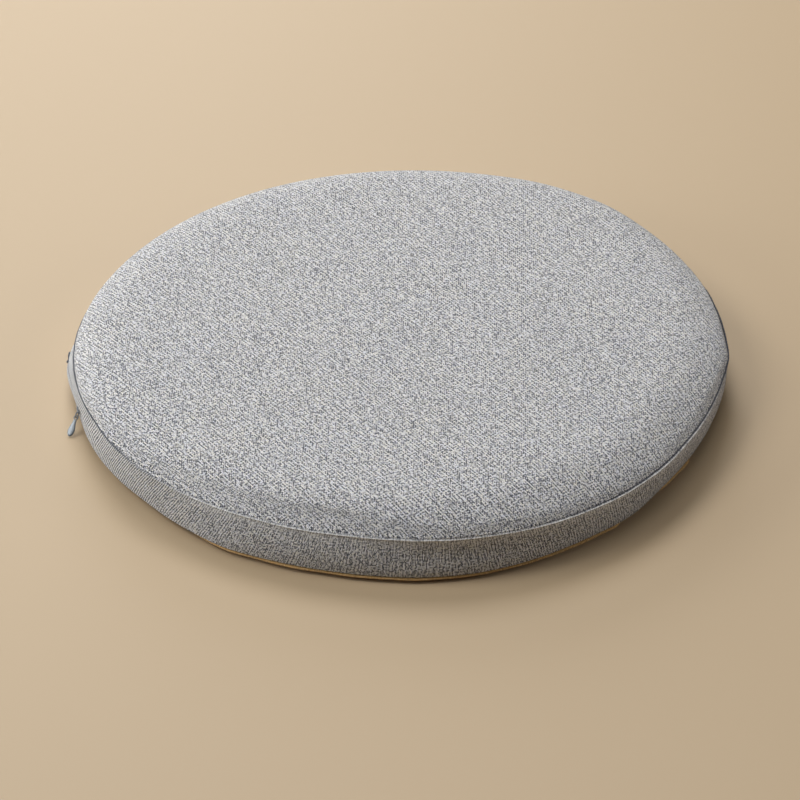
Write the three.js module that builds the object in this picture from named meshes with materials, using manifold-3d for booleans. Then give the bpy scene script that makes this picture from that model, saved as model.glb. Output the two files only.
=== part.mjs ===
// A round seat cushion lying on the floor, in millimetres, +Z up.
// The origin is the middle of the underside, azimuths are in degrees from +X towards +Y.
import * as THREE from "three";
import { mergeVertices } from "three/addons/utils/BufferGeometryUtils.js";
import Module from "manifold-3d";

const wasm = await Module();
wasm.setup();

// Driving dimensions
const seamRadius = 200; // half of the 400 mm across the seam, the widest line
const seamHeight = 29.5; // seam of the top panel and the side band, above the floor
const shoulderWidth = 41; // the rolled edge, from the seam in to the flat of the top
const shoulderHeight = 42.4; // where the rolled edge ends
const crownHeight = 44; // the middle of the top
const shoulderPower = 2.15; // 2 rolls the edge as an ellipse, more makes it fuller
const footRound = 1.6; // the band's turn under, all round its foot
const bandBelly = 1; // how far the band bows out between foot and seam
const panelThickness = 1.4; // the tan cloth under the cushion
const clearance = 0.3; // between pieces that lie on each other

// The sewn seam: a narrow furrow, with the band's folded edge as a low ridge below it
const seam = { depth: 1.3, halfWidth: 0.9, ridge: 0.6, ridgeBelow: 2 };

// The concealed zip: a slit round the back left of the band, with two soft lips
const slit = { from: 100, to: 193, fade: 4, height: 15, depth: 1.4, halfWidth: 0.8 };
const lips = { bow: 1, reach: 3.5 };

// Where the lips part before the slider the cloth stands out, lower lip most
const bulge = { azimuth: 179.5, halfWidth: 9, lowerLip: 5.2, upperLip: 3.4 };

// The band is drawn in behind the slider
const dimple = { azimuth: 193, halfWidth: 6, depth: 2.4, height: 10, reach: 9 };

// How far out from seamRadius the seam, the band's foot and the tan cloth's edge stand,
// and how far out from its own place the flat of the top reaches
const outline = [
  { azimuth: 0, seam: 1.8, foot: -2, panel: -2.6, flat: -4 },
  { azimuth: 30, seam: 2.6, foot: -2, panel: -2.4, flat: -1 },
  { azimuth: 60, seam: 3.8, foot: -2, panel: -2.2, flat: 6.5 },
  { azimuth: 90, seam: -0.8, foot: -3.8, panel: -3.8, flat: 5 },
  { azimuth: 120, seam: -1.7, foot: -4.4, panel: -4.4, flat: 1.5 },
  { azimuth: 150, seam: -0.6, foot: -1.8, panel: -2.2, flat: -3 },
  { azimuth: 180, seam: 2.9, foot: 3, panel: 2.4, flat: -3.5 },
  { azimuth: 210, seam: 2.6, foot: -1.3, panel: -1.4, flat: 0 },
  { azimuth: 240, seam: 0, foot: -3.8, panel: -3, flat: 2 },
  { azimuth: 270, seam: -1.6, foot: -4.6, panel: -3.5, flat: 2 },
  { azimuth: 300, seam: 1.6, foot: -6.6, panel: -6.2, flat: 0 },
  { azimuth: 330, seam: -0.4, foot: -9, panel: -9.2, flat: -3 },
];

// The zip's pull: a flat drop with an eye, hanging from the slider's ring to the floor
const pull = { length: 14.4, thickness: 1.1, edge: 0.25, eyeRadius: 0.85, eyeWall: 0.8 };
const pullPlace = { azimuth: 193.6, fromAxis: 205, height: 8.4, heading: 247, slope: 36 };

// The drop's half width at shares of its length, from the eye's end to the tip
const pullOutline = [
  { along: 0, halfWidth: 0 },
  { along: 0.03, halfWidth: 0.8 },
  { along: 0.1, halfWidth: 1.25 },
  { along: 0.25, halfWidth: 1.15 },
  { along: 0.42, halfWidth: 1.6 },
  { along: 0.55, halfWidth: 2.15 },
  { along: 0.67, halfWidth: 2.3 },
  { along: 0.8, halfWidth: 2.15 },
  { along: 0.91, halfWidth: 1.55 },
  { along: 0.98, halfWidth: 0.75 },
  { along: 1, halfWidth: 0 },
];

// The slider's bridge, its middle at a place on the band, and the ring in it
const slider = { length: 6.4, height: 2.6, thickness: 1.5, corner: 0.7 };
const sliderPlace = { azimuth: 192.9, height: 11.9 };
const ring = { radius: 1.9, wireRadius: 0.4 };

const roundSteps = 96; // round the cushion
const shoulderSteps = 7; // over the rolled edge
const footSteps = 2; // round the band's foot
const crownRings = [0.66, 0.33]; // rings on the flat of the top, as shares of its radius
const pullSteps = 2; // from one row of the drop's outline to the next
const ringSteps = 24; // round the ring, and round the pull's eye
const wireSteps = 8; // round the ring's wire

const underside = panelThickness + clearance;
const rad = THREE.MathUtils.degToRad;
const upwards = new THREE.Vector3(0, 0, 1);

// A column of the outline at any azimuth, on a smooth closed curve through its rows
function outlineAt(column, azimuth) {
  const step = 360 / outline.length;
  const place = THREE.MathUtils.euclideanModulo(azimuth, 360) / step;
  const row = Math.floor(place);
  const t = place - row;
  const value = (k) => outline[(row + k + outline.length) % outline.length][column];
  const bend = 2 * value(-1) - 5 * value(0) + 4 * value(1) - value(2);
  const twist = -value(-1) + 3 * value(0) - 3 * value(1) + value(2);
  const slope = value(1) - value(-1);
  return value(0) + 0.5 * t * (slope + t * (bend + t * twist));
}

// 1 in the middle and 0 from the reach on, with a smooth fall
function hump(distance, reach) {
  const t = Math.min(Math.abs(distance) / reach, 1);
  return (1 - t * t) ** 2;
}

// How much of the zip's slit there is at an azimuth, from 0 to 1
function slitShare(azimuth) {
  const start = THREE.MathUtils.smoothstep(azimuth, slit.from - slit.fade, slit.from);
  const end = THREE.MathUtils.smoothstep(azimuth, slit.to, slit.to + slit.fade);
  return start * (1 - end);
}

// The side band's radius at an azimuth and a height
function bandRadius(azimuth, z) {
  const foot = seamRadius + outlineAt("foot", azimuth);
  const top = seamRadius + outlineAt("seam", azimuth);
  const t = (z - underside) / (seamHeight - underside);
  const share = slitShare(azimuth);
  const bowed = share * lips.bow * hump(Math.abs(z - slit.height) - lips.reach, lips.reach);
  const cut = share * slit.depth * hump(z - slit.height, 2 * slit.halfWidth);
  const lip = z < slit.height ? bulge.lowerLip : bulge.upperLip;
  const parted = lip * hump(azimuth - bulge.azimuth, bulge.halfWidth) * Math.sin(Math.PI * t) ** 2;
  const drawnAlong = hump(azimuth - dimple.azimuth, dimple.halfWidth);
  const drawn = dimple.depth * drawnAlong * hump(z - dimple.height, dimple.reach);
  const belly = bandBelly * Math.sin(Math.PI * t);
  return foot + (top - foot) * t + belly + bowed + parted - cut - drawn;
}

// The cushion's section at an azimuth, from the middle of its underside to the middle of its top
function cushionSection(azimuth) {
  const points = [new THREE.Vector2(0, underside)];
  const footTop = underside + footRound;
  const footRadius = bandRadius(azimuth, footTop);
  for (let i = 0; i <= footSteps; i++) {
    const turn = (i / footSteps) * (Math.PI / 2);
    const inward = footRound * (1 - Math.sin(turn));
    points.push(new THREE.Vector2(footRadius - inward, footTop - footRound * Math.cos(turn)));
  }
  const bandHeights = [
    slit.height - lips.reach,
    slit.height - slit.halfWidth,
    slit.height,
    slit.height + slit.halfWidth,
    slit.height + lips.reach,
    seamHeight - 2 * seam.ridgeBelow,
  ];
  for (const z of bandHeights) {
    points.push(new THREE.Vector2(bandRadius(azimuth, z), z));
  }
  const seamOut = seamRadius + outlineAt("seam", azimuth);
  points.push(new THREE.Vector2(seamOut + seam.ridge, seamHeight - seam.ridgeBelow));
  points.push(new THREE.Vector2(seamOut, seamHeight - seam.halfWidth));
  points.push(new THREE.Vector2(seamOut - seam.depth, seamHeight));
  const rise = shoulderHeight - seamHeight;
  const width = shoulderWidth - outlineAt("flat", azimuth);
  const flatRadius = seamOut - width;
  for (let i = 1; i <= shoulderSteps; i++) {
    const turn = (i / shoulderSteps) * (Math.PI / 2);
    const r = flatRadius + width * Math.cos(turn) ** (2 / shoulderPower);
    points.push(new THREE.Vector2(r, seamHeight + rise * Math.sin(turn) ** (2 / shoulderPower)));
  }
  for (const share of crownRings) {
    const dome = (crownHeight - shoulderHeight) * (1 - share * share);
    points.push(new THREE.Vector2(flatRadius * share, shoulderHeight + dome));
  }
  points.push(new THREE.Vector2(0, crownHeight));
  return points;
}

// The tan cloth's section, from the middle of its rest face to the middle of its upper face
function panelSection(azimuth) {
  const r = seamRadius + outlineAt("panel", azimuth);
  const edge = panelThickness / 4;
  return [
    new THREE.Vector2(0, 0),
    new THREE.Vector2(r - edge, 0),
    new THREE.Vector2(r, edge),
    new THREE.Vector2(r, panelThickness - edge),
    new THREE.Vector2(r - edge, panelThickness),
    new THREE.Vector2(0, panelThickness),
  ];
}

// A round solid whose section changes with the azimuth: a lathe's faces on its own points
function turned(sectionAt) {
  const first = sectionAt(0);
  const geometry = new THREE.LatheGeometry(first, roundSteps);
  const places = geometry.getAttribute("position");
  for (let i = 0; i <= roundSteps; i++) {
    const azimuth = ((i % roundSteps) * 360) / roundSteps;
    sectionAt(azimuth).forEach((point, j) => {
      const x = point.x * Math.cos(rad(azimuth));
      const y = point.x * Math.sin(rad(azimuth));
      places.setXYZ(i * first.length + j, x, y, point.y);
    });
  }
  return toGeometry(toManifold(geometry));
}

function toManifold(geometry) {
  const plain = geometry.index ? geometry.clone() : geometry;
  plain.deleteAttribute("normal");
  plain.deleteAttribute("uv");
  const merged = mergeVertices(plain, 1e-4);
  const vertProperties = new Float32Array(merged.getAttribute("position").array);
  const triVerts = new Uint32Array(merged.index.array);
  return new wasm.Manifold(new wasm.Mesh({ numProp: 3, vertProperties, triVerts }));
}

function toGeometry(solid) {
  const mesh = solid.getMesh();
  const geometry = new THREE.BufferGeometry();
  geometry.setAttribute("position", new THREE.BufferAttribute(mesh.vertProperties, 3));
  geometry.setIndex(new THREE.BufferAttribute(mesh.triVerts, 1));
  geometry.computeVertexNormals();
  return geometry;
}

// The drop, flat in XY with its eye at the origin and its tip on +X
function pullGeometry() {
  const back = -(pull.eyeRadius + pull.eyeWall);
  const onSide = (side) => (row) => new THREE.Vector2(back + row.along * pull.length, side * row.halfWidth);
  const upper = pullOutline.map(onSide(1));
  const lower = pullOutline.map(onSide(-1)).reverse();
  const shape = new THREE.Shape();
  shape.moveTo(back, 0);
  shape.splineThru(upper.slice(1));
  shape.splineThru(lower.slice(1));
  const flat = pull.thickness - 2 * pull.edge;
  const bevel = {
    bevelThickness: pull.edge,
    bevelSize: pull.edge,
    bevelOffset: -pull.edge,
    bevelSegments: 1,
  };
  const drop = new THREE.ExtrudeGeometry(shape, { depth: flat, curveSegments: pullSteps, ...bevel });
  drop.translate(0, 0, -flat / 2);
  const eye = new THREE.CylinderGeometry(pull.eyeRadius, pull.eyeRadius, 2 * pull.thickness, ringSteps);
  eye.rotateX(Math.PI / 2);
  return toGeometry(toManifold(drop).subtract(toManifold(eye)));
}

// Puts a piece at the pull's eye, with +X down the pull
function placePull(piece) {
  const away = new THREE.Vector3(pullPlace.fromAxis, 0, pullPlace.height);
  piece.position.copy(away.applyAxisAngle(upwards, rad(pullPlace.azimuth)));
  piece.rotation.set(0, rad(pullPlace.slope), rad(pullPlace.heading), "ZYX");
  piece.updateMatrix();
  return piece;
}

// The slider's bridge over the slit, and the ring that is closed through it
function sliderGeometry() {
  const half = { length: slider.length / 2, height: slider.height / 2 };
  const inset = slider.corner;
  const shape = new THREE.Shape();
  shape.moveTo(-half.length + inset, -half.height);
  shape.lineTo(half.length - inset, -half.height);
  shape.quadraticCurveTo(half.length, -half.height, half.length, -half.height + inset);
  shape.lineTo(half.length, half.height - inset);
  shape.quadraticCurveTo(half.length, half.height, half.length - inset, half.height);
  shape.lineTo(-half.length + inset, half.height);
  shape.quadraticCurveTo(-half.length, half.height, -half.length, half.height - inset);
  shape.lineTo(-half.length, -half.height + inset);
  shape.quadraticCurveTo(-half.length, -half.height, -half.length + inset, -half.height);
  const settings = { depth: slider.thickness, curveSegments: 3, bevelEnabled: false };
  const bridge = new THREE.ExtrudeGeometry(shape, settings);
  // the shape's x runs along the band, its y up, and its depth out from the axis
  bridge.rotateX(Math.PI / 2);
  bridge.rotateZ(Math.PI / 2);
  const reach = THREE.MathUtils.radToDeg(half.length / seamRadius);
  let out = 0;
  for (const side of [-1, 0, 1]) {
    for (const level of [-1, -0.5, 0, 0.5, 1]) {
      const height = sliderPlace.height + level * half.height;
      out = Math.max(out, bandRadius(sliderPlace.azimuth + side * reach, height) + clearance);
    }
  }
  bridge.translate(out, 0, sliderPlace.height);
  bridge.rotateZ(rad(sliderPlace.azimuth));
  const loop = new THREE.TorusGeometry(ring.radius, ring.wireRadius, wireSteps, ringSteps);
  loop.rotateX(Math.PI / 2);
  loop.translate(-ring.radius, 0, 0);
  loop.applyMatrix4(placePull(new THREE.Object3D()).matrix);
  return toGeometry(toManifold(bridge).add(toManifold(loop)));
}

function piece(name, geometry, color, roughness, metalness) {
  const mesh = new THREE.Mesh(geometry, new THREE.MeshStandardMaterial({ color, roughness, metalness }));
  mesh.name = name;
  return mesh;
}

const seatCushion = new THREE.Group();
seatCushion.add(piece("cushion", turned(cushionSection), 0xb1b1b3, 0.95, 0));
seatCushion.add(piece("base_panel", turned(panelSection), 0xb88745, 0.9, 0));
seatCushion.add(piece("zip_slider", sliderGeometry(), 0x6f7880, 0.4, 0.9));
seatCushion.add(placePull(piece("zip_pull", pullGeometry(), 0xaab6c0, 0.4, 0.6)));

export default seatCushion;
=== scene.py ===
import bmesh
import bpy
from math import atan2, cos, hypot, pi, radians, sin
from mathutils import Matrix, Vector, noise
from mathutils.bvhtree import BVHTree
from mathutils.interpolate import poly_3d_calc


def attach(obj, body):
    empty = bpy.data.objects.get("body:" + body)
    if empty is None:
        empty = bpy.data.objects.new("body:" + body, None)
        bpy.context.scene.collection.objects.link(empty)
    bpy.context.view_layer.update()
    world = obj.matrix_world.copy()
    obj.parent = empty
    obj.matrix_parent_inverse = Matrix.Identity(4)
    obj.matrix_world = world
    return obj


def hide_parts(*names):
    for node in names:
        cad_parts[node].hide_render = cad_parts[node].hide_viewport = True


# A round seat cushion on a pale floor. Metres, +Z up, azimuths from +X towards +Y.

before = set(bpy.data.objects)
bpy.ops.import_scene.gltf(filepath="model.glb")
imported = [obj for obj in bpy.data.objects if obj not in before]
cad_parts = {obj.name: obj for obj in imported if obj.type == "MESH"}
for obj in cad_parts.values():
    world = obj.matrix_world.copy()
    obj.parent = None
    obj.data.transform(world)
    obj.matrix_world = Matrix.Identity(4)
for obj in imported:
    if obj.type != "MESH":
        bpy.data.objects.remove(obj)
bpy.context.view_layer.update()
mm = 0.001
scene = bpy.context.scene
# lengths round the band are counted at this radius
roundRadius = 200 * mm
print("the packed solids are in")


# Shader nodes

class Wire:
    # a socket in a material: + - * / ** and % on it add Math nodes, and node() adds any other
    def __init__(self, tree, socket=None):
        self.tree = tree
        self.socket = socket

    def node(self, kind, settings=None, inputs=None, out=0):
        made = self.tree.nodes.new("ShaderNode" + kind)
        for name, value in (settings or {}).items():
            if name == "stops":
                ramp = made.color_ramp.elements
                while len(ramp) < len(value):
                    ramp.new(1)
                for stop, (place, colour) in zip(ramp, value):
                    stop.position = place
                    stop.color = (*colour, 1)
            else:
                setattr(made, name, value)
        for key, value in (inputs or {}).items():
            if isinstance(value, Wire):
                self.tree.links.new(value.socket, made.inputs[key])
            else:
                made.inputs[key].default_value = value
        return Wire(self.tree, made.outputs[out])

    def also(self, out):
        return Wire(self.tree, self.socket.node.outputs[out])

    def maths(self, operation, first, second=0.0):
        return self.node("Math", {"operation": operation}, {0: first, 1: second})

    def __add__(self, other):
        return self.maths("ADD", self, other)

    __radd__ = __add__

    def __mul__(self, other):
        return self.maths("MULTIPLY", self, other)

    __rmul__ = __mul__

    def __sub__(self, other):
        return self.maths("SUBTRACT", self, other)

    def __rsub__(self, other):
        return self.maths("SUBTRACT", other, self)

    def __truediv__(self, other):
        return self.maths("DIVIDE", self, other)

    def __pow__(self, other):
        return self.maths("POWER", self, other)

    def __mod__(self, other):
        return self.maths("FLOORED_MODULO", self, other)


def mixColours(start, factor, first, second, way="MIX"):
    settings = {"data_type": "RGBA", "blend_type": way}
    return start.node("Mix", settings, {0: factor, 6: first, 7: second}, out=2)


def greyOf(start, value):
    return start.node("CombineColor", None, {0: value, 1: value, 2: value})


def startMaterial(name, **fixed):
    material = bpy.data.materials.new(name)
    material.use_nodes = True
    tree = material.node_tree
    tree.nodes.clear()
    shader = tree.nodes.new("ShaderNodeBsdfPrincipled")
    output = tree.nodes.new("ShaderNodeOutputMaterial")
    tree.links.new(shader.outputs[0], output.inputs["Surface"])
    for socket, value in fixed.items():
        shader.inputs[socket.replace("_", " ")].default_value = value
    return material, shader, Wire(tree)


def feed(shader, socket, wire):
    wire.tree.links.new(wire.socket, shader.inputs[socket])


# Plain weave: warp yarns run along v, weft yarns along u, each over every second one it meets

flatNoise = {"noise_dimensions": "2D"}


def weaveYarns(start, place, cloth, ribs=0.0, contrast=1.0):
    wander = start.node("TexNoise", flatNoise, {"Vector": place, "Scale": 160.0, "Detail": 1.0})
    offset = start.node("VectorMath", {"operation": "SUBTRACT"}, {0: wander.also("Color"), 1: (0.5, 0.5, 0.5)})
    bent = start.node("VectorMath", {"operation": "MULTIPLY_ADD"},
                      {0: offset, 1: (cloth["wander"], cloth["wander"], 0), 2: place})
    across = start.node("SeparateXYZ", None, {0: bent})
    x, y = across / cloth["acrossWarp"], across.also(1) / cloth["acrossWeft"]
    column, row = start.maths("FLOOR", x), start.maths("FLOOR", y)
    fx, fy = x - column - 0.5, y - row - 0.5
    warpOnTop = (column + row) % 2.0
    domeX, domeY = 1 - 4 * fx * fx, 1 - 4 * fy * fy
    warpHeight = domeX * (0.5 + 0.5 * domeY)
    weftHeight = domeY * (0.5 + 0.5 * domeX)
    height = weftHeight + warpOnTop * (warpHeight - weftHeight)
    crossing = start.node("CombineXYZ", None, {0: column + 0.5, 1: row + 0.5})
    random = start.node("TexWhiteNoise", flatNoise, {"Vector": crossing})
    speck = (random - 0.5) * cloth["speck"]
    cast = mixColours(start, start.node("SeparateColor", None, {0: random.also("Color")}, out=2), *cloth["casts"])
    # these only keep one yarn's noise away from the next one's, and the weft's from the warp's
    yarnStep, weftStart = 3.17, 37.5

    def yarnNoise(number, along):
        where = start.node("CombineXYZ", None, {0: number * yarnStep, 1: along})
        rough = {"Scale": 1.0, "Detail": 4.0, "Roughness": cloth["slubRoughness"]}
        return start.node("TexNoise", flatNoise, {"Vector": where, **rough})

    # each yarn has a tone of its own, which changes slowly along it and stands off from the next yarn's
    def yarnTone(number, along):
        here, beside = yarnNoise(number, along), yarnNoise(number + 1.0, along)
        return 0.5 + (cloth["apart"] * (here - beside) + speck) * contrast

    beat = start.maths("SINE", column * (2 * pi / cloth["beat"]))
    warpTone = yarnTone(column, y * (cloth["acrossWeft"] / cloth["slub"])) + beat * cloth["beatShare"] + ribs
    weftTone = yarnTone(row + weftStart, x * (cloth["acrossWarp"] / cloth["slub"])) + ribs
    warpColour = start.node("ValToRGB", {"stops": cloth["warp"]}, {0: warpTone})
    weftColour = start.node("ValToRGB", {"stops": cloth["weft"]}, {0: weftTone})
    warpShare = cloth["warpShows"] + (1 - cloth["warpShows"]) * warpOnTop
    yarns = mixColours(start, warpShare, weftColour, warpColour)
    yarns = mixColours(start, 1.0, yarns, cast, "MULTIPLY")
    # painted shade darkens the gaps between the yarns, where their height is low
    shade = cloth["gapShade"] + (1 - cloth["gapShade"]) * start.maths("MAXIMUM", height, 0.0) ** 0.6
    return mixColours(start, 1.0, yarns, greyOf(start, shade), "MULTIPLY"), height


# The grey cloth: light yarns and dark blue-grey ones, mixed

greyWeave = {
    # how far apart the yarns lie, how far they wander, and how long and rough their slubs are
    "acrossWarp": 0.83 * mm,
    "acrossWeft": 1.0 * mm,
    "wander": 0.5 * mm,
    "slub": 6 * mm,
    "slubRoughness": 0.74,
    # how much neighbours differ in tone, and single crossings, with the two ends of the crossings' slight casts
    "apart": 0.93,
    "speck": 0.24,
    "casts": [(0.965, 0.985, 1.06, 1), (1.05, 1.025, 0.92, 1)],
    # how much of the warp shows under the weft, and every how many yarns the warp gets lighter, by how much
    "warpShows": 0.2,
    "beat": 2.75,
    "beatShare": 0.08,
    # the azimuths between which the band's front goes over into its left and its right
    "toLeft": (-115, -145),
    "toRight": (-95, -50),
    # on the band the weave is this much finer, and its yarns stand off this much more, at the front and at the right
    "finerBand": 0.2,
    "bolderBand": (0.22, 0.5),
    # ribs across the band: how wide they are, also where the cloth is stretched at the zip, from what azimuth on,
    # how much they waver, and how strong they are at the front, left and right
    "rib": 1.78 * mm,
    "ribByZip": 2.3 * mm,
    "zipAzimuth": -155,
    "ribWaver": 3.5,
    "ribs": (0.04, 0.34, 0.13),
    # (tone, colour)
    "warp": [(0.39, (0.02, 0.023, 0.042)), (0.46, (0.178, 0.173, 0.20)), (0.53, (0.50, 0.495, 0.51)),
             (0.61, (0.93, 0.92, 0.92))],
    "weft": [(0.28, (0.24, 0.245, 0.27)), (0.42, (0.56, 0.56, 0.57)), (0.57, (0.95, 0.94, 0.935))],
    # how light the painted shade leaves the gaps between yarns, how high the yarns stand, and the fuzz on them
    "gapShade": 0.16,
    "bump": 0.2 * mm,
    "fuzz": 0.35,
    "clouds": [(0.3, (0.96, 0.963, 0.972)), (0.7, (1, 0.995, 0.985))],
    # the colours of the painted shade in the furrow and the slit, and of the painted highlight on the fold's edge
    "paintedShadeColour": (0.035, 0.04, 0.055, 1),
    "highlightColour": (0.92, 0.92, 0.92, 1),
}


def makeGreyWeave():
    cloth = greyWeave
    material, shader, start = startMaterial(
        "greyWeave", Roughness=0.92, Sheen_Weight=0.18, Sheen_Roughness=0.5, Specular_IOR_Level=0.25)
    place = start.node("TexCoord", out=3)
    uv = start.node("UVMap", {"uv_map": "cloth"})
    z = start.node("SeparateXYZ", None, {0: place}, out=2)
    onBand = start.maths("LESS_THAN", z, seam["height"])
    along = start.node("SeparateXYZ", None, {0: uv})

    # a value that changes from one azimuth to another, by how far round the band a point is
    def between(azimuths, values):
        first, last = (radians(azimuth) * roundRadius for azimuth in azimuths)
        return start.node("MapRange", None, {0: along, 1: first, 2: last, 3: values[0], 4: values[1]})

    front, left, right = cloth["ribs"]
    strong = between(cloth["toLeft"], (front, left)) + between(cloth["toRight"], (0.0, right - front))
    waver = cloth["ribWaver"] * start.node("TexNoise", flatNoise, {"Vector": uv, "Scale": 120.0, "Detail": 1.0})
    slower = 2 * pi / cloth["ribByZip"] - 2 * pi / cloth["rib"]
    lag = radians(-180 - cloth["zipAzimuth"]) * roundRadius * slower
    rib = along * (2 * pi / cloth["rib"]) + between((-180, cloth["zipAzimuth"]), (lag, 0.0)) + waver
    finer = start.node("VectorMath", {"operation": "SCALE"}, {0: uv, "Scale": 1 + onBand * cloth["finerBand"]})
    bolder = between(cloth["toRight"], cloth["bolderBand"])
    ribs = start.maths("SINE", rib) * strong * onBand
    colour, height = weaveYarns(start, finer, cloth, ribs, 1 + bolder * onBand)
    cloud = start.node("TexNoise", None, {"Vector": place, "Scale": 28.0, "Detail": 3.0})
    tint = start.node("ValToRGB", {"stops": cloth["clouds"]}, {0: cloud})
    colour = mixColours(start, 1.0, colour, tint, "MULTIPLY")
    # the cover's attributes carry painted shade for the seam's furrow and the zip's slit, and a painted highlight for
    # the fold's edge
    crease = start.node("Attribute", {"attribute_name": "crease"}, out=2)
    lightEdge = start.node("Attribute", {"attribute_name": "lightEdge"}, out=2)
    # noise breaks the painted highlight up into dots
    dots = start.node("TexNoise", flatNoise, {"Vector": uv, "Scale": 420.0, "Detail": 1.0})
    colour = mixColours(start, lightEdge * (dots * 2.4 - 0.4), colour, cloth["highlightColour"])
    colour = mixColours(start, crease, colour, cloth["paintedShadeColour"])
    feed(shader, "Base Color", colour)
    height += cloth["fuzz"] * start.node("TexNoise", None, {"Vector": place, "Scale": 2600.0, "Detail": 2.0})
    feed(shader, "Normal", start.node("Bump", None, {"Strength": 0.8, "Distance": cloth["bump"], "Height": height}))
    return material


# Shapes

def mergedCopy(node):
    form = bmesh.new()
    form.from_mesh(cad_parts[node].data)
    bmesh.ops.remove_doubles(form, verts=form.verts, dist=1e-6)
    return form


# how far out a solid reaches at an azimuth and a height, where a ray from inside meets it
def reachOf(tree, azimuth, height):
    out, inside = Vector((cos(azimuth), sin(azimuth), 0)), 100 * mm
    hit = tree.ray_cast(out * inside + Vector((0, 0, height)), out)[0]
    return hypot(hit.x, hit.y)


# 1 at nought, 0 from the reach on
def hump(value, reach):
    t = min(abs(value) / reach, 1)
    return (1 - t * t) ** 2


# 0 below nought, 1 above one, smooth between
def ease(t):
    t = min(max(t, 0), 1)
    return t * t * (3 - 2 * t)


# a value read from a table of (azimuth in degrees, value), round the full turn
def roundTable(table, azimuth):
    degree = azimuth * 180 / pi % 360
    rows = [(table[-1][0] - 360, table[-1][1])] + table + [(table[0][0] + 360, table[0][1])]
    for (a, low), (b, high) in zip(rows, rows[1:]):
        if a <= degree < b:
            return low + (high - low) * ease((degree - a) / (b - a))


def linked(name, form):
    mesh = bpy.data.meshes.new(name)
    form.to_mesh(mesh)
    form.free()
    made = bpy.data.objects.new(name, mesh)
    scene.collection.objects.link(made)
    mesh.shade_smooth()
    return made


# keeps what the modifiers make, and takes them off
def applyModifiers(made):
    graph = bpy.context.evaluated_depsgraph_get()
    mesh = bpy.data.meshes.new_from_object(made.evaluated_get(graph))
    made.modifiers.clear()
    old = made.data
    made.data = mesh
    bpy.data.meshes.remove(old)


def smoothed(made, levels):
    smoother = made.modifiers.new("smooth", "SUBSURF")
    smoother.levels = smoother.render_levels = levels
    applyModifiers(made)


# a chain of (radius, height) points turned about the vertical through the origin
def spinSection(points, steps):
    form = bmesh.new()
    chain = [form.verts.new((r, 0, z)) for r, z in points]
    for a, b in zip(chain, chain[1:]):
        form.edges.new((a, b))
    bmesh.ops.spin(form, geom=form.verts[:] + form.edges[:], axis=(0, 0, 1), cent=(0, 0, 0),
                   angle=2 * pi, steps=steps, use_merge=True)
    bmesh.ops.remove_doubles(form, verts=form.verts, dist=1e-5)
    bmesh.ops.recalc_face_normals(form, faces=form.faces)
    return form


def finish(piece, material, node=None):
    piece.data.materials.clear()
    piece.data.materials.append(material)
    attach(piece, "root")
    if node:
        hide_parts(node)


# The cushion's cover over its filling

seam = {
    "height": 29.5 * mm,
    # how far the rolled edge leans in for each millimetre above the seam, by azimuth
    "lean": [(5, 0.34), (200, 0.34), (215, 1.0), (235, 1.4), (258, 1.4), (268, 1.15), (280, 1.0), (292, 0.95),
             (335, 0.95), (350, 0.6)],
    # how softly the cloth's own line goes over into the drawn one
    "blend": 0.7 * mm,
    # how far below and above the seam the sewing still draws the cloth in, and over what height that ends
    "drawnBelow": 13 * mm,
    "drawnAbove": 11 * mm,
    "drawnEnd": 4 * mm,
    "furrowReach": 0.65 * mm,
    "foldBelow": 0.6 * mm,
    "foldReach": 0.85 * mm,
    # the cloth puckers this far above and below the seam, though not right at it, in coarse and fine waves
    "pucker": 0.3 * mm,
    "puckerReach": 9 * mm,
    "smoothReach": 1.2 * mm,
    "puckerWaves": (22, 48),
    # how deep the furrow is and how far the fold below it stands out, in mm, and how dark the painted shade in the
    # furrow is, by azimuth
    "furrow": [(17, 0.6), (60, 0.5), (150, 0.5), (175, 0.6), (214, 0.55), (222, 0.35), (285, 0.3), (300, 0.4),
               (318, 0.6)],
    "fold": [(0, 0.5), (17, 0.6), (40, 0.25), (160, 0.3), (174, 0.9), (188, 0.8), (197, 0.35), (210, 0.3), (225, 0.4),
             (245, 0.55), (285, 0.6), (305, 0.8), (320, 0.85), (340, 0.6)],
    "dark": [(17, 1), (60, 0.6), (150, 0.6), (175, 1), (199, 1), (213, 0.7), (219, 0.4), (228, 0.1), (285, 0.05),
             (298, 0.3), (310, 0.65), (322, 0.9)],
    # how far the painted shade goes down over the fold, in mm, and how strong the painted highlight on the fold's edge
    # is, by azimuth
    "shadeLow": [(20, 0.3), (40, 0), (160, 0), (174, 0.35), (186, 0.35), (196, 0.15), (214, 0.15), (222, 0), (280, 0),
                (300, -0.35), (335, -0.3), (352, 0.2)],
    "light": [(0, 0), (225, 0), (236, 0.85), (290, 0.95), (303, 0.95), (335, 0.9), (345, 0.4), (355, 0)],
    # the painted highlight on the fold's edge is thin, and under it painted light makes the band a little paler
    "highlightReach": 0.55 * mm,
    "paintedLightShare": 0.25,
    "paintedLightBelow": 3 * mm,
    "paintedLightReach": 3.5 * mm,
    # how far in the sewing pulls the cloth, in mm, by azimuth
    "pulledIn": [(0, 1.3), (5, 1.9), (11, 1.9), (18, 1.2), (40, 1.2), (150, 1.0), (172, 0.6), (180, 0.3), (193, 0.4),
                 (198, 0.5), (204, 1.1), (212, 0.3), (217, 0.3), (226, 1.4), (233, 2.2), (238, 2.6), (245, 3.3),
                 (250, 3.1), (260, 3.2), (264, 2.5), (268, 1.8), (273, 0.6), (279, -0.5), (286, 0.3), (291, 0.3),
                 (297, 0.9), (303, 1.2), (310, 0.7), (320, 0.9), (330, 2.0), (343, 2.3), (349, 2.0), (352, 1.2),
                 (355.5, 0.2), (358, 0.6)],
}

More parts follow.
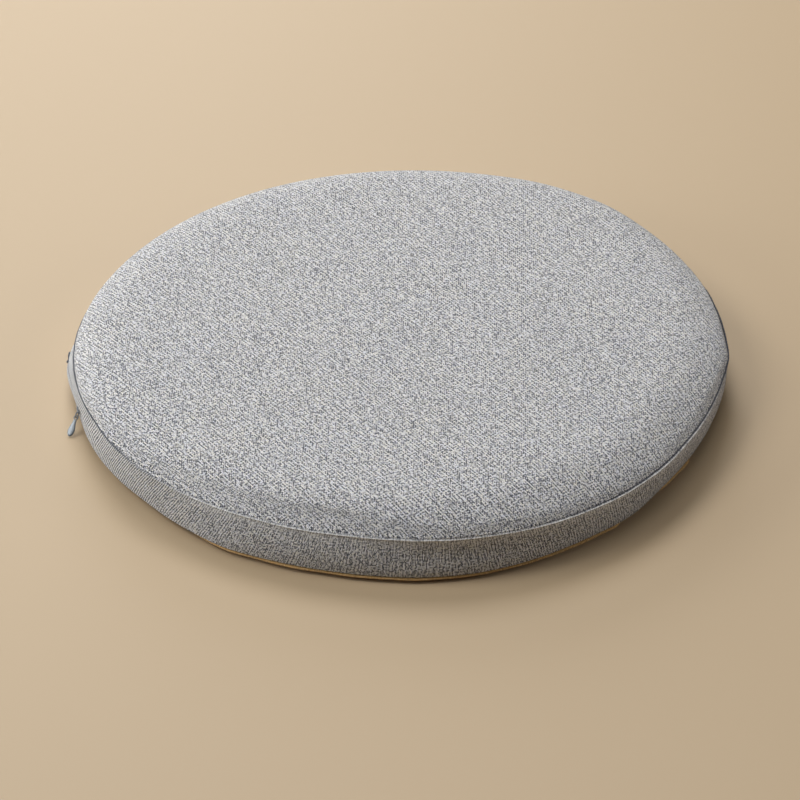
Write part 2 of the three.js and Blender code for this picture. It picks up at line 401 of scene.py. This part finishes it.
cushion = {
    "steps": 96,
    # the cage's rings: shares of the underside, heights in mm, and shares of the crown
    "under": [0.0, 0.3, 0.6, 0.82, 0.9, 0.96],
    "bandHeights": [3.3, 5.6, 8.4, 11.5, 13.4, 14.2, 15, 15.8, 16.6, 18.5, 21.5, 24.5, 26.8, 28.1, 28.9],
    "shoulderHeights": [29.5, 30.1, 31, 32.69, 35.43, 37.81, 39.76, 41.21, 42.1, 42.39],
    "crown": [0.9, 0.76, 0.6, 0.45, 0.3, 0.15],
    "underside": 1.7 * mm,
    "footRound": 0.8 * mm,
    "crownRise": 1.6 * mm,
    # the solid's own furrow is bridged between these heights, and up to so far above the seam
    "bridged": (25.4 * mm, 28.6 * mm),
    "bridgedAbove": 1.5 * mm,
    # how far the rolled edge has settled, in mm, by azimuth, from what radius over how much, and over what height
    "settled": [(0, 0.8), (22, 0), (36, -1.2), (47, -2.6), (58, -1.5), (75, 0), (200, 0), (215, 0.9), (235, 2.4),
                (262, 2.0), (288, 1.6), (300, 2.6), (335, 2.6), (350, 1.4)],
    "settledFrom": 170 * mm,
    "settledOver": 22 * mm,
    "settledHeight": 6 * mm,
    # how far the rim of the underside stands off the floor, and how far it is pushed out, in mm, by azimuth,
    # and over what heights both end
    "rimLift": [(0, 0.8), (185, 0.8), (200, 1.0), (228, 1.8), (245, 2.2), (290, 2.2), (310, 1.9), (325, 1.2),
                (340, 0.8)],
    "rimOut": [(0, 0), (190, 0.4), (205, 1.1), (214, 0.9), (219, 0.4), (229, 2.4), (240, 4.8), (246, 3.4), (257, 3.0),
               (266, 3.9), (273, 5.5), (283, 6.0), (291, 4.6), (300, 2.7), (305, 2.1), (313, 3.2), (325, 0)],
    "liftHeight": 12 * mm,
    "outHeight": 20 * mm,
    # the top's weave is turned by so many degrees
    "weaveTurn": -38,
    # how far the band's upright yarns lean, by azimuth
    "yarnLean": [(0, -0.4), (90, 0), (180, 0.75), (222, 0.75), (250, 0.4), (272, 0), (295, -0.3), (315, -0.4)],
}

filling = {
    "voxel": 5 * mm,
    "startIn": 1.4 * mm,
    "edgeHeight": 8 * mm,
    # the cloth is held by the seam, near the rim only, and on the underside
    "heldBySeam": 5 * mm,
    "heldOutside": 180 * mm,
    "heldBelow": 3 * mm,
    "pressure": 4.0,
    "frames": 20,
    "quality": 5,
    "cap": 1.5 * mm,
    # its effect fades towards the rolled edge, which keeps its shape
    "from": 130 * mm,
    "over": 50 * mm,
}

# the zip's parted slit, with the azimuths that it runs between, and how dark the painted shade in it is
slit = {"height": 15 * mm, "from": 100, "to": 193, "ends": 4, "depth": 0.7 * mm, "reach": 1.0 * mm, "dark": 0.8}


# how much of the rim's lift a point of the underside has, by its share of the way out
def liftShare(share):
    flatTo = 0.88
    return ease((share - flatTo) / (1 - flatTo))


def makeCage():
    c = cushion
    tree = BVHTree.FromBMesh(mergedCopy("cushion"))
    rows = [("under", share) for share in c["under"]]
    rows += [("foot", 0.0), ("foot", 0.5)]
    rows += [("side", z * mm) for z in c["bandHeights"] + c["shoulderHeights"]]
    rows += [("crown", share) for share in c["crown"]] + [("crown", 0.0)]
    # a first section, a pole at either end, whose heights only tell the rings apart
    last = len(rows) - 1
    form = spinSection([(0 if i in (0, last) else 0.1, i) for i in range(len(rows))], c["steps"])
    low, high = c["bridged"]
    for v in form.verts:
        kind, share = rows[round(v.co.z)]
        azimuth = atan2(v.co.y, v.co.x)
        lift, push = roundTable(c["rimLift"], azimuth) * mm, roundTable(c["rimOut"], azimuth) * mm
        footOut = reachOf(tree, azimuth, c["bandHeights"][0] * mm) + push
        if kind == "under":
            r, z = (footOut - c["footRound"]) * share, c["underside"] + lift * liftShare(share)
        elif kind == "foot":
            turn = share * pi / 2
            r = footOut - c["footRound"] * (1 - sin(turn))
            z = c["underside"] + c["footRound"] * (1 - cos(turn)) + lift
        elif kind == "crown":
            r = reachOf(tree, azimuth, c["shoulderHeights"][-1] * mm) * share
            z = c["shoulderHeights"][-1] * mm + c["crownRise"] * (1 - share * share)
        else:
            z = share
            if low < z < seam["height"] + c["bridgedAbove"]:
                t = min((z - low) / (high - low), 1)
                r = reachOf(tree, azimuth, low) * (1 - t) + reachOf(tree, azimuth, high) * t
            else:
                r = reachOf(tree, azimuth, z)
            fromFoot = z - c["bandHeights"][0] * mm
            r += push * (1 - ease(fromFoot / c["outHeight"]))
            z += lift * (1 - ease(fromFoot / c["liftHeight"]))
        settle = roundTable(c["settled"], azimuth) * mm
        z -= settle * ease((r - c["settledFrom"]) / c["settledOver"]) * ease((z - seam["height"]) / c["settledHeight"])
        v.co = (r * cos(azimuth), r * sin(azimuth), z)
    return form


# The cover's cloth map, in metres: the top panel turns with the weave and goes on over the rolled edge,
# and the band runs round, far off the top's part of the map
def mapCloth(form):
    layer = form.loops.layers.uv.new("cloth")
    turn = radians(cushion["weaveTurn"])
    edgeFrom, edgeDeep, edgeMore = 42.4 * mm, 13 * mm, 0.55
    yarnsFrom, bandOff = 15 * mm, 1.0
    for face in form.faces:
        middle = face.calc_center_median()
        facing = atan2(middle.y, middle.x)
        onTop = middle.z > seam["height"]
        for loop in face.loops:
            p = loop.vert.co
            r = hypot(p.x, p.y)
            azimuth = atan2(p.y, p.x) if r > 1e-6 else facing
            azimuth = facing + (azimuth - facing + pi) % (2 * pi) - pi
            if onTop:
                drop = max(edgeFrom - p.z, 0)
                across = r + edgeMore * drop * drop / edgeDeep
                loop[layer].uv = (across * cos(azimuth + turn), across * sin(azimuth + turn))
            else:
                lean = roundTable(cushion["yarnLean"], azimuth) * (p.z - yarnsFrom)
                loop[layer].uv = (azimuth * roundRadius - lean, p.z - bandOff)


# 0 up to the seam and 1 on the top, with a smooth change over the rolled edge
def topShare(height):
    return ease((height - seam["height"]) / filling["edgeHeight"])


# a coarse copy of the solid, blown up a little as the filling does, moves the cover's points
def pressFilling(cover):
    f = filling
    copy = linked("fillingForm", mergedCopy("cushion"))
    remesh = copy.modifiers.new("remesh", "REMESH")
    remesh.mode = "VOXEL"
    remesh.voxel_size = f["voxel"]
    applyModifiers(copy)
    mesh = copy.data
    inwards = [v.normal * -f["startIn"] * topShare(v.co.z) for v in mesh.vertices]
    pins = copy.vertex_groups.new(name="sewn")
    for v, step in zip(mesh.vertices, inwards):
        sewn = hump(v.co.z - seam["height"], f["heldBySeam"]) if hypot(v.co.x, v.co.y) > f["heldOutside"] else 0
        pins.add([v.index], 1 if v.co.z < f["heldBelow"] else sewn, "REPLACE")
        v.co += step
    cloth = copy.modifiers.new("cloth", "CLOTH")
    cloth.settings.quality = f["quality"]
    cloth.settings.use_pressure = True
    cloth.settings.uniform_pressure_force = f["pressure"]
    cloth.settings.vertex_group_mass = "sewn"
    cloth.settings.effector_weights.gravity = 0
    cloth.point_cache.frame_start = 1
    cloth.point_cache.frame_end = f["frames"]
    before = [v.co.copy() for v in mesh.vertices]
    for step in range(1, f["frames"] + 1):
        scene.frame_set(step)
    shaped = copy.evaluated_get(bpy.context.evaluated_depsgraph_get()).to_mesh()
    pushes = [after.co - start for after, start in zip(shaped.vertices, before)]
    pushes = [p * min(1, f["cap"] / max(p.length, 1e-9)) for p in pushes]
    faces = [tuple(p.vertices) for p in mesh.polygons]
    tree = BVHTree.FromPolygons(before, faces)
    places = [(v.co.copy(), v.normal.copy()) for v in cover.data.vertices]
    for v, (place, normal) in zip(cover.data.vertices, places):
        near, _, index, _ = tree.find_nearest(place)
        face = faces[index]
        weights = poly_3d_calc([before[i] for i in face], near)
        push = sum((pushes[i] * weight for i, weight in zip(face, weights)), Vector())
        away = 1 - ease((hypot(place.x, place.y) - f["from"]) / f["over"])
        v.co = place + (push - normal * f["startIn"] * topShare(place.z)) * away
    scene.frame_set(1)
    bpy.data.objects.remove(copy)


# the seam draws the rolled edge in above it, with a furrow and the band's folded edge below, and paints shade into the
# furrow and the zip's slit and a highlight along the fold's edge
def sewCover(cover):
    s = seam
    solid = BVHTree.FromBMesh(mergedCopy("cushion"))
    lines, leans = {}, {}
    crease = cover.data.attributes.new("crease", "FLOAT", "POINT")
    lightEdge = cover.data.attributes.new("lightEdge", "FLOAT", "POINT")
    # the solid's reach at the seam is taken just below its furrow's middle, and nothing is sewn near the pole
    justBelow, nearest = 0.9 * mm, 150 * mm
    coarse, fine = s["puckerWaves"]
    for v in cover.data.vertices:
        r = hypot(v.co.x, v.co.y)
        if r < nearest:
            continue
        azimuth = atan2(v.co.y, v.co.x)
        key = round(azimuth, 4)
        if key not in lines:
            lines[key] = reachOf(solid, azimuth, s["height"] - justBelow) - roundTable(s["pulledIn"], azimuth) * mm
            leans[key] = roundTable(s["lean"], azimuth)
        above = v.co.z - s["height"]
        place = Vector((cos(azimuth), sin(azimuth), 0))
        pucker = noise.noise(place * coarse + Vector((0, 0, 5))) + 0.6 * noise.noise(place * fine)
        shift = pucker * s["pucker"] * hump(above, s["puckerReach"]) * (1 - hump(above, s["smoothReach"]))
        line = lines[key] - leans[key] * max(above, 0)
        drawn = (r + line - hypot(r - line, s["blend"])) / 2 - r
        shift += drawn * ease(1 + above / s["drawnBelow"] if above < 0 else (s["drawnAbove"] - above) / s["drawnEnd"])
        shift -= roundTable(s["furrow"], azimuth) * mm * hump(above, s["furrowReach"])
        shift += roundTable(s["fold"], azimuth) * mm * hump(above + s["foldBelow"], s["foldReach"])
        degree = azimuth * 180 / pi % 360
        parted = ease((degree - slit["from"]) / slit["ends"]) * ease((slit["to"] - degree) / slit["ends"] + 1)
        parted *= hump(v.co.z - slit["height"], slit["reach"])
        v.co += place * (shift - parted * slit["depth"])
        # painted shade in the seam's furrow and in the zip's slit
        dark = roundTable(s["dark"], azimuth) * hump(above + roundTable(s["shadeLow"], azimuth) * mm, s["furrowReach"])
        crease.data[v.index].value = max(dark, parted * slit["dark"])
        # painted highlight on the fold's edge, and painted light on the band just below it
        paintedLight = s["paintedLightShare"] * hump(above + s["paintedLightBelow"], s["paintedLightReach"])
        edge = hump(above + s["foldBelow"], s["highlightReach"])
        lightEdge.data[v.index].value = roundTable(s["light"], azimuth) * max(edge, paintedLight)


print("the cover is being shaped")
cageForm = makeCage()
mapCloth(cageForm)
cover = linked("cushionCover", cageForm)
smoothed(cover, 2)
pressFilling(cover)
sewCover(cover)
finish(cover, makeGreyWeave(), "cushion")
print("the cover has", len(cover.data.polygons), "faces")


# The tan cloth under the cushion

underPanel = {
    "thickness": 1.4 * mm,
    "steps": 180,
    # rings of the first round section, in mm, and its rim's (radius in mm, share of the thickness)
    "rings": [0, 60, 120, 170, 180, 186, 191, 195, 198.6],
    "rim": [(199.7, 0.12), (200, 0.5), (199.7, 0.88)],
    # that section stretches to the edge from this share of its radius on, over this one
    "stretched": (0.5, 0.45),
    # the cut edge wavers by so many mm, so finely
    "wavers": [(0.3, 40), (0.2, 90)],
    "weave": {
        "acrossWarp": 0.7 * mm,
        "acrossWeft": 0.75 * mm,
        "wander": 0.4 * mm,
        "slub": 9 * mm,
        "slubRoughness": 0.6,
        "apart": 0.5,
        "speck": 0.08,
        "casts": [(0.98, 1, 1.03, 1), (1.02, 1, 0.97, 1)],
        "warpShows": 0.1,
        "beat": 5.3,
        "beatShare": 0.02,
        "warp": [(0.32, (0.46, 0.26, 0.09)), (0.5, (0.68, 0.42, 0.17)), (0.66, (0.80, 0.55, 0.27))],
        "weft": [(0.32, (0.44, 0.25, 0.09)), (0.5, (0.64, 0.39, 0.16)), (0.66, (0.78, 0.52, 0.25))],
        "gapShade": 0.45,
        "bump": 0.15 * mm,
        "clouds": [(0.3, (0.88, 0.87, 0.85)), (0.7, (1, 1, 1))],
    },
    # how far in from the solid's edge the cloth stops, in mm, by azimuth
    "tuck": [(0, 2.6), (150, 2.8), (225, 2.8), (238, 0.9), (252, 0.0), (257, 0.5), (262, 0.3), (285, 0.5), (292, -0.1),
             (300, -0.7), (310, -0.8), (312.5, 2.2), (322, 2.2), (324.5, -0.8), (334, -1.4), (336.5, 2.4)],
}


def makePanel():
    p = underPanel
    tree = BVHTree.FromBMesh(mergedCopy("base_panel"))
    t = p["thickness"]
    section = [(r, 0) for r in p["rings"]] + p["rim"] + [(r, 1) for r in reversed(p["rings"])]
    form = spinSection([(r * mm, share * t) for r, share in section], p["steps"])
    radius = max(r for r, _ in section) * mm
    stretchFrom, stretchOver = p["stretched"]
    for v in form.verts:
        r = hypot(v.co.x, v.co.y)
        if r < 1e-6:
            continue
        azimuth = atan2(v.co.y, v.co.x)
        place = Vector((cos(azimuth), sin(azimuth), 0))
        pushed = roundTable(cushion["rimOut"], azimuth) - roundTable(p["tuck"], azimuth)
        edge = reachOf(tree, azimuth, t / 2) + pushed * mm
        edge += sum(size * mm * noise.noise(place * fineness) for size, fineness in p["wavers"])
        r += (edge - radius) * ease((r / radius - stretchFrom) / stretchOver)
        lift = roundTable(cushion["rimLift"], azimuth) * mm * liftShare(r / edge)
        v.co = (r * cos(azimuth), r * sin(azimuth), v.co.z + lift)
    return linked("underPanel", form)


def makeTanCloth():
    material, shader, start = startMaterial("tanCloth", Roughness=0.88, Sheen_Weight=0.12, Specular_IOR_Level=0.25)
    place = start.node("TexCoord", out=3)
    cloth = underPanel["weave"]
    colour, height = weaveYarns(start, place, cloth)
    cloud = start.node("TexNoise", None, {"Vector": place, "Scale": 18.0, "Detail": 3.0})
    tint = start.node("ValToRGB", {"stops": cloth["clouds"]}, {0: cloud})
    feed(shader, "Base Color", mixColours(start, 1.0, colour, tint, "MULTIPLY"))
    feed(shader, "Normal", start.node("Bump", None, {"Strength": 0.7, "Distance": cloth["bump"], "Height": height}))
    return material


panel = makePanel()
finish(panel, makeTanCloth(), "base_panel")
print("the tan panel is in")


# Sewing thread: one stitch after another in the seam's furrow, and a bar tack at the zip's end

thread = {
    "pitch": 2.9 * mm,
    "length": 2.5 * mm,
    "radius": 0.3 * mm,
    # how unevenly the stitches slant, lie and reach
    "slant": 0.06,
    "waver": 0.12 * mm,
    "uneven": 0.12,
    # how thick the thread shows against that radius, by azimuth
    "thick": [(0, 2.3), (17, 2.3), (21, 1.2), (40, 1), (160, 1), (178, 1.5), (190, 1.3), (205, 1), (213, 0.9),
              (219, 0.8), (300, 0.8), (318, 1.2), (350, 1.5)],
    # how far a stitch's middle stands out of the furrow, in mm, by azimuth: at the front it is sunk in the fold
    "proud": [(0, 0.9), (5, 1.2), (17, 1.2), (21, 0.3), (60, 0.05), (160, 0.1), (175, 0.3), (199, 0.2), (212, 0.1),
              (219, -0.3), (290, -0.3), (303, 0.0), (320, 0.15), (350, 0.25)],
    "colour": (0.022, 0.027, 0.042, 1),
    "twistLighter": 2.2,
    # the bar tack at the zip's end: azimuth, height and how far each stitch stands out, in mm, and how thick it is
    "barTack": [(177.9, 17.8, 0.5), (178.3, 17.2, 0.75), (178.5, 16.5, 0.95), (178.6, 15.8, 1.2), (178.7, 15.1, 1.4),
                (178.8, 14.5, 1.15), (178.9, 13.9, 0.5)],
    "barTackThick": 2.5,
}


def makeThread(cover):
    t = thread
    corners = [v.co for v in cover.data.vertices]
    tree = BVHTree.FromPolygons(corners, [tuple(p.vertices) for p in cover.data.polygons])

    def stitchPlace(azimuth, height, length, proud, thick):
        slant = t["slant"] * noise.noise(Vector((azimuth * 90, 0, 7)))
        r = reachOf(tree, azimuth, height) + proud
        place = Matrix.Translation((r * cos(azimuth), r * sin(azimuth), height))
        turned = place @ Matrix.Rotation(azimuth + pi / 2, 4, "Z") @ Matrix.Rotation(slant, 4, "Y")
        sized = Matrix.Diagonal((length / 2, t["radius"] * thick, t["radius"] * thick, 1))
        return turned @ sized @ Matrix.Rotation(pi / 2, 4, "Y")

    count = round(2 * pi * roundRadius / t["pitch"])
    places = []
    for i in range(count):
        azimuth = i * 2 * pi / count
        height = seam["height"] + t["waver"] * noise.noise(Vector((azimuth * 60, 2, 0)))
        length = t["length"] * (1 + t["uneven"] * noise.noise(Vector((azimuth * 130, 0, 0))))
        proud, thick = roundTable(t["proud"], azimuth) * mm, roundTable(t["thick"], azimuth)
        places.append(stitchPlace(azimuth, height, length, proud, thick))
    for degree, height, proud in t["barTack"]:
        places.append(stitchPlace(radians(degree), height * mm, t["length"], proud * mm, t["barTackThick"]))
    # one stitch, doubled until there are enough, then each put in its place by its number
    form = bmesh.new()
    bmesh.ops.create_uvsphere(form, u_segments=8, v_segments=5, radius=1)
    number = form.verts.layers.int.new("number")
    made = 1
    while made < len(places):
        copies = bmesh.ops.duplicate(form, geom=form.verts[:] + form.edges[:] + form.faces[:])["geom"]
        for v in copies:
            if isinstance(v, bmesh.types.BMVert):
                v[number] += made
        made *= 2
    bmesh.ops.delete(form, geom=[v for v in form.verts if v[number] >= len(places)], context="VERTS")
    for v in form.verts:
        v.co = places[v[number]] @ v.co
    form.verts.layers.int.remove(number)
    return linked("seamThread", form)


def makeThreadFinish():
    material, shader, start = startMaterial("darkThread", Roughness=0.6, Sheen_Weight=0.2)
    place = start.node("TexCoord", out=3)
    twist = start.node("TexWave", {"bands_direction": "DIAGONAL"}, {"Vector": place, "Scale": 900.0, "Distortion": 1.5},
                       out=1)
    lighter = tuple(c * thread["twistLighter"] for c in thread["colour"][:3]) + (1,)
    feed(shader, "Base Color", mixColours(start, twist, thread["colour"], lighter))
    feed(shader, "Normal", start.node("Bump", None, {"Strength": 0.6, "Distance": 0.08 * mm, "Height": twist}))
    return material


seamThread = makeThread(cover)
finish(seamThread, makeThreadFinish())
print("the stitches are in")


# The zip's slider, with its ring, and the drop-shaped pull

zipSlider = {
    "azimuth": 192.9,
    "height": 11.9 * mm,
    "length": 6.4 * mm,
    "depth": 2.6 * mm,
    "thickness": 1.1 * mm,
    # its ends bow in and narrow by these
    "bowed": 0.35 * mm,
    "narrowed": 0.28,
    "colour": (0.17, 0.19, 0.21, 1),
}

zipPull = {
    "azimuth": 193.6,
    "fromAxis": 205 * mm,
    "height": 8.4 * mm,
    "heading": 247,
    "slope": 36,
    "length": 12.6 * mm,
    "thickness": 1.1 * mm,
    "eye": 1.25 * mm,
    "eyeWire": 0.42 * mm,
    "ring": 1.9 * mm,
    "ringWire": 0.4 * mm,
    # (share of the length, half width in mm, share of the thickness)
    "outline": [(0.07, 0.3, 0.5), (0.12, 0.95, 0.8), (0.2, 1.15, 0.9), (0.3, 1.25, 0.95), (0.42, 1.6, 1.0),
                (0.55, 2.1, 1.0), (0.67, 2.3, 1.0), (0.8, 2.15, 0.95), (0.9, 1.6, 0.85), (0.97, 0.8, 0.6),
                (1.0, 0.2, 0.3)],
    "colour": (0.16, 0.18, 0.197, 1),
}


def pullPlace():
    p = zipPull
    azimuth = radians(p["azimuth"])
    at = Matrix.Translation((p["fromAxis"] * cos(azimuth), p["fromAxis"] * sin(azimuth), p["height"]))
    return at @ Matrix.Rotation(radians(p["heading"]), 4, "Z") @ Matrix.Rotation(radians(p["slope"]), 4, "Y")


# a wire ring in the plane of local x and z, or x and y
def addRing(form, centre, radius, wire, axis):
    side = Vector((1, 0, 0))
    across = bmesh.ops.create_circle(form, segments=12, radius=wire, cap_ends=False,
                                     matrix=Matrix.Translation(centre + side * radius)
                                     @ (Matrix.Rotation(pi / 2, 4, "X") if axis == "Z" else Matrix.Identity(4)))
    edges = list({e for v in across["verts"] for e in v.link_edges})
    turn = Vector((0, 0, 1)) if axis == "Z" else Vector((0, 1, 0))
    bmesh.ops.spin(form, geom=across["verts"] + edges, axis=turn, cent=centre, angle=2 * pi, steps=32, use_merge=True)


def makePull():
    p = zipPull
    form = bmesh.new()
    rows = p["outline"]
    ball = bmesh.ops.create_uvsphere(form, u_segments=20, v_segments=len(rows) - 1, radius=1,
                                     matrix=Matrix.Rotation(pi / 2, 4, "Y"))
    # each ring of the ball becomes one row of the outline
    rings = sorted({round(v.co.x, 4) for v in ball["verts"]})
    for v in ball["verts"]:
        along, halfWidth, flatness = rows[rings.index(round(v.co.x, 4))]
        spread = hypot(v.co.y, v.co.z)
        if spread < 1e-6:
            v.co = (along * p["length"], 0, 0)
            continue
        y, z = v.co.y / spread, v.co.z / spread
        square = (abs(y) ** 3 + abs(z) ** 3) ** (-1 / 3)
        v.co = (along * p["length"], y * square * halfWidth * mm, z * square * flatness * p["thickness"] / 2)
    addRing(form, Vector((0, 0, 0)), p["eye"], p["eyeWire"], "Z")
    bmesh.ops.remove_doubles(form, verts=form.verts, dist=1e-7)
    bmesh.ops.recalc_face_normals(form, faces=form.faces)
    bmesh.ops.transform(form, matrix=pullPlace(), verts=form.verts)
    made = linked("zipPullDrop", form)
    smoothed(made, 1)
    return made


def makeSlider():
    s, p = zipSlider, zipPull
    form = bmesh.new()
    azimuth = radians(s["azimuth"])
    tree = BVHTree.FromBMesh(mergedCopy("zip_slider"))
    out, outside = Vector((cos(azimuth), sin(azimuth), 0)), 300 * mm
    hit = tree.ray_cast(out * outside + Vector((0, 0, s["height"])), -out)[0]
    face = hypot(hit.x, hit.y)
    middle = out * (face - s["thickness"] / 2) + Vector((0, 0, s["height"]))
    bmesh.ops.create_cube(form, size=1, matrix=Matrix.Diagonal((s["thickness"], s["length"], s["depth"], 1)))
    bmesh.ops.subdivide_edges(form, edges=form.edges[:], cuts=3, use_grid_fill=True)
    for v in form.verts:
        toEnd = (2 * v.co.y / s["length"]) ** 2
        v.co.x -= toEnd * s["bowed"]
        v.co.z *= 1 - s["narrowed"] * toEnd
    bmesh.ops.transform(form, matrix=Matrix.Translation(middle) @ Matrix.Rotation(azimuth, 4, "Z"), verts=form.verts)
    ringForm = bmesh.new()
    addRing(ringForm, Vector((-p["ring"], 0, 0)), p["ring"], p["ringWire"], "Y")
    bmesh.ops.transform(ringForm, matrix=pullPlace(), verts=ringForm.verts)
    ringMesh = bpy.data.meshes.new("ring")
    ringForm.to_mesh(ringMesh)
    ringForm.free()
    form.from_mesh(ringMesh)
    bpy.data.meshes.remove(ringMesh)
    bmesh.ops.recalc_face_normals(form, faces=form.faces)
    made = linked("zipSliderBridge", form)
    smoothed(made, 1)
    return made


# both are enamelled, and worn lighter and less glossy where noise rises from the first value to the second
enamel = {
    "worn": (0.55, 0.75),
    "wornShows": 0.6,
    # the worn colour is the other one times this, plus that
    "wornLighter": (1.5, 0.05),
    "uneven": 0.25,
    "coat": 0.5,
    "coatWorn": 0.4,
    "bump": 0.03 * mm,
}


def makeEnamel(name, colour, roughness, metallic):
    e = enamel
    material, shader, start = startMaterial(name, Metallic=metallic, Coat_Roughness=0.2)
    place = start.node("TexCoord", out=3)
    scuffs = start.node("TexNoise", None, {"Vector": place, "Scale": 900.0, "Detail": 4.0, "Roughness": 0.7})
    rubbed = start.node("MapRange", None, {0: scuffs, 1: e["worn"][0], 2: e["worn"][1], 3: 0.0, 4: e["wornShows"]})
    times, more = e["wornLighter"]
    lighter = tuple(min(c * times + more, 1) for c in colour[:3]) + (1,)
    feed(shader, "Base Color", mixColours(start, rubbed, colour, lighter))
    feed(shader, "Roughness", roughness + e["uneven"] * scuffs)
    feed(shader, "Coat Weight", e["coat"] - e["coatWorn"] * rubbed)
    feed(shader, "Normal", start.node("Bump", None, {"Strength": 0.25, "Distance": e["bump"], "Height": scuffs}))
    return material


pull = makePull()
finish(pull, makeEnamel("pullEnamel", zipPull["colour"], 0.22, 0.35), "zip_pull")
slider = makeSlider()
finish(slider, makeEnamel("sliderEnamel", zipSlider["colour"], 0.35, 0.3), "zip_slider")
print("the zip's slider and pull are in")


# Stage: floor, light and camera

view = {
    "lens": 155.53,
    "sensor": 36,
    "elevation": 35.36,
    "distance": 2.1405,
    "target": (-0.0014, -0.0177, 0),
    "clipEnd": 50,
}

floorLook = {"size": 6, "colour": (0.447, 0.332, 0.205, 1), "roughness": 0.6}

# a broad window at the left and behind, a ceiling, and a little light that the room sends back
lamps = {
    "windowLeft": {"azimuth": 187, "elevation": 15, "power": 46, "colour": (0.88, 0.95, 1)},
    "windowLeftHigh": {"azimuth": 185, "elevation": 50, "power": 40},
    "windowMiddle": {"azimuth": 140, "elevation": 18, "power": 37},
    "windowBack": {"azimuth": 100, "elevation": 15, "power": 33},
    "windowBackHigh": {"azimuth": 100, "elevation": 50, "power": 46},
    "ceiling": {"azimuth": 0, "elevation": 89, "power": 20},
    "room": {"azimuth": 348, "elevation": 25, "power": 18},
}
lampAway, lampSize = 3.2, 1.6

skyLook = {"colour": (0.95, 0.97, 1, 1), "strength": 0.03}


def makeFloor():
    form = bmesh.new()
    bmesh.ops.create_grid(form, x_segments=1, y_segments=1, size=floorLook["size"])
    made = linked("floor", form)
    material = startMaterial("paleFloor", Roughness=floorLook["roughness"], Base_Color=floorLook["colour"])[0]
    made.data.materials.append(material)


def makeLamp(name, look):
    lamp = bpy.data.lights.new(name, "AREA")
    lamp.shape = "DISK"
    lamp.size = lampSize
    lamp.energy = look["power"]
    lamp.color = look.get("colour", (1, 1, 1))
    made = bpy.data.objects.new(name, lamp)
    azimuth, elevation = radians(look["azimuth"]), radians(look["elevation"])
    out = Vector((cos(azimuth) * cos(elevation), sin(azimuth) * cos(elevation), sin(elevation)))
    made.location = out * lampAway
    made.rotation_mode = "QUATERNION"
    made.rotation_quaternion = (-out).to_track_quat("-Z", "Y")
    scene.collection.objects.link(made)


makeFloor()
for name, look in lamps.items():
    makeLamp(name, look)

sky = bpy.data.worlds.new("sky")
sky.use_nodes = True
background = sky.node_tree.nodes["Background"]
background.inputs["Color"].default_value = skyLook["colour"]
background.inputs["Strength"].default_value = skyLook["strength"]
scene.world = sky
scene.view_settings.view_transform = "Standard"

camera = bpy.data.objects.new("camera", bpy.data.cameras.new("camera"))
camera.data.lens = view["lens"]
camera.data.sensor_width = view["sensor"]
camera.data.clip_end = view["clipEnd"]
tilt = radians(view["elevation"])
away = Vector((0, -cos(tilt), sin(tilt)))
camera.location = Vector(view["target"]) + away * view["distance"]
camera.rotation_mode = "QUATERNION"
camera.rotation_quaternion = (-away).to_track_quat("-Z", "Y")
scene.collection.objects.link(camera)
scene.camera = camera
print("floor, lights and camera are set")
